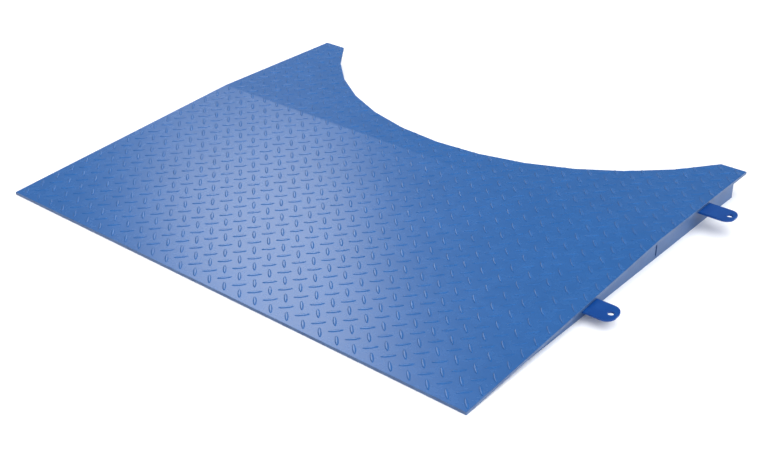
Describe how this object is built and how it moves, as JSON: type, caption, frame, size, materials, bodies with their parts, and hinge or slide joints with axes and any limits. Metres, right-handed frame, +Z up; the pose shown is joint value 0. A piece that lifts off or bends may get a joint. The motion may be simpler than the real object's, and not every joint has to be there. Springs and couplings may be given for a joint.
{
  "type": "loading ramp",
  "caption": "Low steel tread plate loading ramp with a long slope, a level rear deck with a round turntable scoop, inset side skirts and two bolt-down lugs on one side.",
  "frame": {"origin": "floor level, midway along and across the whole part including its lugs", "axes": "+X across the ramp towards the lug side, +Y up the ramp from the toe to the scoop, +Z up"},
  "size_m": [1.2886, 1.016, 0.0508],
  "materials": {
    "painted_tread_plate": "semi-gloss blue enamel on raised-pattern floor plate",
    "painted_skirt": "semi-gloss blue enamel on flat plate",
    "painted_frame": "semi-gloss blue enamel on flat bar",
    "painted_lug": "gloss blue enamel on flat bar"
  },
  "bodies": {
    "root": {"deck_plate": "painted_tread_plate", "skirt_left": "painted_skirt", "skirt_right": "painted_skirt", "stringer_1": "painted_frame", "stringer_2": "painted_frame", "stringer_3": "painted_frame", "stringer_4": "painted_frame", "stringer_5": "painted_frame", "cross_rib_mid": "painted_frame", "cross_rib_crest": "painted_frame", "arc_rib_1": "painted_frame", "arc_rib_2": "painted_frame", "arc_rib_3": "painted_frame", "arc_rib_4": "painted_frame", "arc_rib_5": "painted_frame", "arc_rib_6": "painted_frame", "arc_rib_7": "painted_frame", "arc_rib_8": "painted_frame", "arc_rib_9": "painted_frame", "arc_rib_10": "painted_frame", "arc_rib_11": "painted_frame", "arc_rib_12": "painted_frame", "horn_rib_left": "painted_frame", "horn_rib_right": "painted_frame", "lug_front": "painted_lug", "lug_rear": "painted_lug"}
  },
  "joints": []
}
